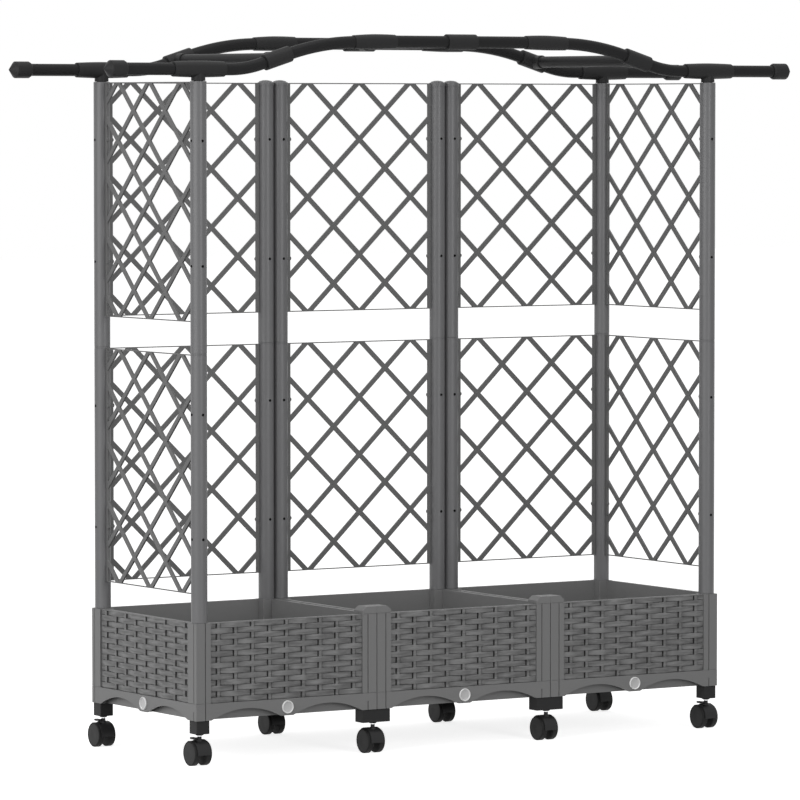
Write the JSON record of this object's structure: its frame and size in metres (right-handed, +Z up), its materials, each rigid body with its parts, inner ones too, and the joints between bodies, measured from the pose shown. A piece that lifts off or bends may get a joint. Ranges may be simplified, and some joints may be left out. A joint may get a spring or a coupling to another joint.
{
  "type": "planter with trellis",
  "caption": "Row of woven-pattern planter boxes on casters, with lattice panels between round posts along the back and sides and arched hanging rails above.",
  "frame": {"origin": "floor level under the middle of the footprint, wheels included", "axes": "+X along the row of boxes from left to right as seen from the open front, +Y towards the lattice at the back, +Z up"},
  "size_m": [1.572, 0.4184, 1.375],
  "materials": {
    "box_grey": "moulded grey polypropylene with a woven relief",
    "grid_grey": "moulded grey polypropylene",
    "trellis_grey": "moulded grey polypropylene, satin",
    "post_grey": "extruded grey polypropylene tube, satin",
    "rail_black": "black plastic tube and fittings, satin",
    "block_black": "moulded black plastic, satin",
    "hood_black": "moulded black nylon with a plated steel stem",
    "wheel_black": "moulded black nylon",
    "lever_black": "moulded black nylon"
  },
  "bodies": {
    "planter": {"tray_left": "box_grey", "wall_ring_left": "box_grey", "soil_grid_left": "grid_grey", "tray_middle": "box_grey", "wall_ring_middle": "box_grey", "soil_grid_middle": "grid_grey", "tray_right": "box_grey", "wall_ring_right": "box_grey", "soil_grid_right": "grid_grey", "foot_block_front_left": "block_black", "foot_block_back_left": "block_black", "foot_block_front_junction1": "block_black", "foot_block_back_junction1": "block_black", "foot_block_front_junction2": "block_black", "foot_block_back_junction2": "block_black", "foot_block_front_right": "block_black", "foot_block_back_right": "block_black", "post_front_left": "post_grey", "post_back_left": "post_grey", "post_front_right": "post_grey", "post_back_right": "post_grey", "post_back_inner1": "post_grey", "post_back_inner2": "post_grey", "post_back_inner3": "post_grey", "post_back_inner4": "post_grey", "lattice_back_left_lower": "trellis_grey", "lattice_back_middle_lower": "trellis_grey", "lattice_back_right_lower": "trellis_grey", "lattice_side_left_lower": "trellis_grey", "lattice_side_right_lower": "trellis_grey", "lattice_back_left_upper": "trellis_grey", "lattice_back_middle_upper": "trellis_grey", "lattice_back_right_upper": "trellis_grey", "lattice_side_left_upper": "trellis_grey", "lattice_side_right_upper": "trellis_grey", "arch_rail_front": "rail_black", "arch_rail_back": "rail_black", "cross_bar_left": "rail_black", "cross_bar_middle": "rail_black", "cross_bar_right": "rail_black"},
    "caster_front_left": {"caster_hood_front_left": "hood_black"},
    "wheels_front_left": {"caster_wheels_front_left": "wheel_black"},
    "lever_front_left": {"brake_lever_front_left": "lever_black"},
    "caster_back_left": {"caster_hood_back_left": "hood_black"},
    "wheels_back_left": {"caster_wheels_back_left": "wheel_black"},
    "lever_back_left": {"brake_lever_back_left": "lever_black"},
    "caster_front_junction1": {"caster_hood_front_junction1": "hood_black"},
    "wheels_front_junction1": {"caster_wheels_front_junction1": "wheel_black"},
    "caster_back_junction1": {"caster_hood_back_junction1": "hood_black"},
    "wheels_back_junction1": {"caster_wheels_back_junction1": "wheel_black"},
    "caster_front_junction2": {"caster_hood_front_junction2": "hood_black"},
    "wheels_front_junction2": {"caster_wheels_front_junction2": "wheel_black"},
    "caster_back_junction2": {"caster_hood_back_junction2": "hood_black"},
    "wheels_back_junction2": {"caster_wheels_back_junction2": "wheel_black"},
    "caster_front_right": {"caster_hood_front_right": "hood_black"},
    "wheels_front_right": {"caster_wheels_front_right": "wheel_black"},
    "lever_front_right": {"brake_lever_front_right": "lever_black"},
    "caster_back_right": {"caster_hood_back_right": "hood_black"},
    "wheels_back_right": {"caster_wheels_back_right": "wheel_black"},
    "lever_back_right": {"brake_lever_back_right": "lever_black"}
  },
  "joints": [
    {"name": "swivel_front_left", "type": "hinge", "parent": "planter", "child": "caster_front_left", "pos_m": [-0.584, -0.191, 0.05754], "axis": [0, 0, 1], "continuous": true},
    {"name": "roll_front_left", "type": "hinge", "parent": "caster_front_left", "child": "wheels_front_left", "pos_m": [-0.584, -0.184, 0.0235], "axis": [1, 0, 0], "continuous": true},
    {"name": "brake_front_left", "type": "hinge", "parent": "caster_front_left", "child": "lever_front_left", "pos_m": [-0.584, -0.192, 0.05184], "axis": [-1, 0, 0], "range_deg": [0, 10]},
    {"name": "swivel_back_left", "type": "hinge", "parent": "planter", "child": "caster_back_left", "pos_m": [-0.584, 0.177, 0.05754], "axis": [0, 0, 1], "continuous": true},
    {"name": "roll_back_left", "type": "hinge", "parent": "caster_back_left", "child": "wheels_back_left", "pos_m": [-0.584, 0.184, 0.0235], "axis": [1, 0, 0], "continuous": true},
    {"name": "brake_back_left", "type": "hinge", "parent": "caster_back_left", "child": "lever_back_left", "pos_m": [-0.584, 0.176, 0.05184], "axis": [-1, 0, 0], "range_deg": [0, 10]},
    {"name": "swivel_front_junction1", "type": "hinge", "parent": "planter", "child": "caster_front_junction1", "pos_m": [-0.2, -0.191, 0.05754], "axis": [0, 0, 1], "continuous": true},
    {"name": "roll_front_junction1", "type": "hinge", "parent": "caster_front_junction1", "child": "wheels_front_junction1", "pos_m": [-0.2, -0.184, 0.0235], "axis": [1, 0, 0], "continuous": true},
    {"name": "swivel_back_junction1", "type": "hinge", "parent": "planter", "child": "caster_back_junction1", "pos_m": [-0.2, 0.177, 0.05754], "axis": [0, 0, 1], "continuous": true},
    {"name": "roll_back_junction1", "type": "hinge", "parent": "caster_back_junction1", "child": "wheels_back_junction1", "pos_m": [-0.2, 0.184, 0.0235], "axis": [1, 0, 0], "continuous": true},
    {"name": "swivel_front_junction2", "type": "hinge", "parent": "planter", "child": "caster_front_junction2", "pos_m": [0.2, -0.191, 0.05754], "axis": [0, 0, 1], "continuous": true},
    {"name": "roll_front_junction2", "type": "hinge", "parent": "caster_front_junction2", "child": "wheels_front_junction2", "pos_m": [0.2, -0.184, 0.0235], "axis": [1, 0, 0], "continuous": true},
    {"name": "swivel_back_junction2", "type": "hinge", "parent": "planter", "child": "caster_back_junction2", "pos_m": [0.2, 0.177, 0.05754], "axis": [0, 0, 1], "continuous": true},
    {"name": "roll_back_junction2", "type": "hinge", "parent": "caster_back_junction2", "child": "wheels_back_junction2", "pos_m": [0.2, 0.184, 0.0235], "axis": [1, 0, 0], "continuous": true},
    {"name": "swivel_front_right", "type": "hinge", "parent": "planter", "child": "caster_front_right", "pos_m": [0.584, -0.191, 0.05754], "axis": [0, 0, 1], "continuous": true},
    {"name": "roll_front_right", "type": "hinge", "parent": "caster_front_right", "child": "wheels_front_right", "pos_m": [0.584, -0.184, 0.0235], "axis": [1, 0, 0], "continuous": true},
    {"name": "brake_front_right", "type": "hinge", "parent": "caster_front_right", "child": "lever_front_right", "pos_m": [0.584, -0.192, 0.05184], "axis": [-1, 0, 0], "range_deg": [0, 10]},
    {"name": "swivel_back_right", "type": "hinge", "parent": "planter", "child": "caster_back_right", "pos_m": [0.584, 0.177, 0.05754], "axis": [0, 0, 1], "continuous": true},
    {"name": "roll_back_right", "type": "hinge", "parent": "caster_back_right", "child": "wheels_back_right", "pos_m": [0.584, 0.184, 0.0235], "axis": [1, 0, 0], "continuous": true},
    {"name": "brake_back_right", "type": "hinge", "parent": "caster_back_right", "child": "lever_back_right", "pos_m": [0.584, 0.176, 0.05184], "axis": [-1, 0, 0], "range_deg": [0, 10]}
  ]
}
